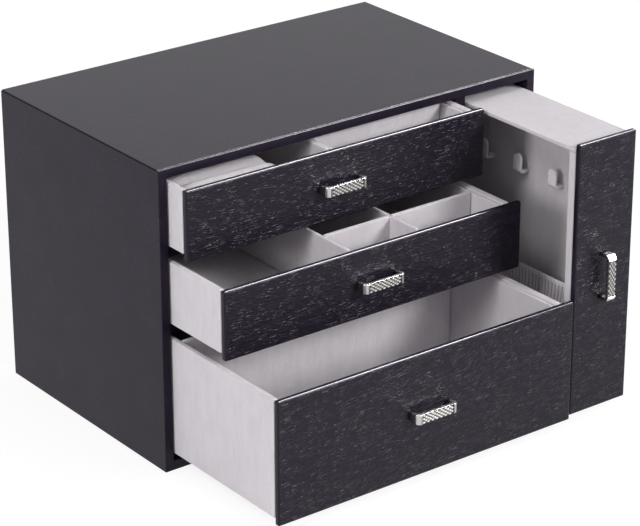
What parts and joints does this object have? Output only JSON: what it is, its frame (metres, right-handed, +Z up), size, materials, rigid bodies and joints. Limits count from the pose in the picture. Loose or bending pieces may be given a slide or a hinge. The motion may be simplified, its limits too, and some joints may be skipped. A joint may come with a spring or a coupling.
{
  "type": "jewelry box",
  "caption": "Leatherette-covered jewelry box with stacked suede-lined drawers, a tall side drawer with necklace hooks and a gathered pocket, and bent nickel pulls.",
  "frame": {"origin": "centre of the case's flat underside", "axes": "+Z up, +X to the right seen from the front, -Y out of the drawers' fronts"},
  "size_m": [0.3, 0.2995, 0.204],
  "materials": {
    "case_leatherette": "black leatherette with a faint fine grain and a satin shine",
    "front_leatherette": "black leatherette embossed with a wavy horizontal grain, glossy",
    "drawer_suede": "pale grey-lilac brushed suede glued over fibreboard",
    "pad_suede": "pale grey-lilac suede over soft foam",
    "pocket_velvet": "gathered pale grey velvet with an elastic hem",
    "handle_nickel": "bright nickel plate, cross-hatched on the face of the bar",
    "hook_plastic": "pale flocked plastic",
    "screw_steel": "zinc-plated steel"
  },
  "bodies": {
    "case": {"case_back": "case_leatherette", "case_bottom": "case_leatherette", "case_left_side": "case_leatherette", "case_right_side": "case_leatherette", "case_top": "case_leatherette", "lower_shelf": "case_leatherette", "partition": "case_leatherette", "upper_shelf": "case_leatherette"},
    "top_drawer": {"top_drawer_back_wall": "drawer_suede", "top_drawer_bottom": "drawer_suede", "top_drawer_cross_divider": "drawer_suede", "top_drawer_divider": "drawer_suede", "top_drawer_divider_lining": "drawer_suede", "top_drawer_first_screw": "screw_steel", "top_drawer_front": "front_leatherette", "top_drawer_front_lining": "drawer_suede", "top_drawer_handle": "handle_nickel", "top_drawer_left_wall": "drawer_suede", "top_drawer_right_lining": "drawer_suede", "top_drawer_right_wall": "drawer_suede", "top_drawer_ring_pad": "pad_suede", "top_drawer_roll_pad": "pad_suede", "top_drawer_second_screw": "screw_steel"},
    "middle_drawer": {"middle_drawer_back_wall": "drawer_suede", "middle_drawer_bottom": "drawer_suede", "middle_drawer_cross_divider": "drawer_suede", "middle_drawer_first_screw": "screw_steel", "middle_drawer_front": "front_leatherette", "middle_drawer_front_lining": "drawer_suede", "middle_drawer_handle": "handle_nickel", "middle_drawer_left_divider": "drawer_suede", "middle_drawer_left_wall": "drawer_suede", "middle_drawer_middle_divider": "drawer_suede", "middle_drawer_right_lining": "drawer_suede", "middle_drawer_right_wall": "drawer_suede", "middle_drawer_second_screw": "screw_steel"},
    "bottom_drawer": {"bottom_drawer_back_wall": "drawer_suede", "bottom_drawer_bottom": "drawer_suede", "bottom_drawer_cross_divider": "drawer_suede", "bottom_drawer_first_screw": "screw_steel", "bottom_drawer_front": "front_leatherette", "bottom_drawer_front_lining": "drawer_suede", "bottom_drawer_handle": "handle_nickel", "bottom_drawer_left_wall": "drawer_suede", "bottom_drawer_right_lining": "drawer_suede", "bottom_drawer_right_wall": "drawer_suede", "bottom_drawer_second_screw": "screw_steel"},
    "tall_drawer": {"tall_drawer_back_wall": "drawer_suede", "tall_drawer_bottom": "drawer_suede", "tall_drawer_first_screw": "screw_steel", "tall_drawer_front": "front_leatherette", "tall_drawer_front_wall": "drawer_suede", "tall_drawer_handle": "handle_nickel", "tall_drawer_hook_front": "hook_plastic", "tall_drawer_hook_middle": "hook_plastic", "tall_drawer_hook_rear": "hook_plastic", "tall_drawer_pocket": "pocket_velvet", "tall_drawer_second_screw": "screw_steel", "tall_drawer_side_panel": "drawer_suede", "tall_drawer_top_panel": "drawer_suede"}
  },
  "joints": [
    {"name": "top_drawer_slide", "type": "slide", "parent": "case", "child": "top_drawer", "axis": [0, -1, 0], "range_m": [-0.0184, 0.1116]},
    {"name": "middle_drawer_slide", "type": "slide", "parent": "case", "child": "middle_drawer", "axis": [0, -1, 0], "range_m": [-0.0565, 0.0735]},
    {"name": "bottom_drawer_slide", "type": "slide", "parent": "case", "child": "bottom_drawer", "axis": [0, -1, 0], "range_m": [-0.1093, 0.0207]},
    {"name": "tall_drawer_slide", "type": "slide", "parent": "case", "child": "tall_drawer", "axis": [0, -1, 0], "range_m": [-0.1052, 0.0248]}
  ]
}
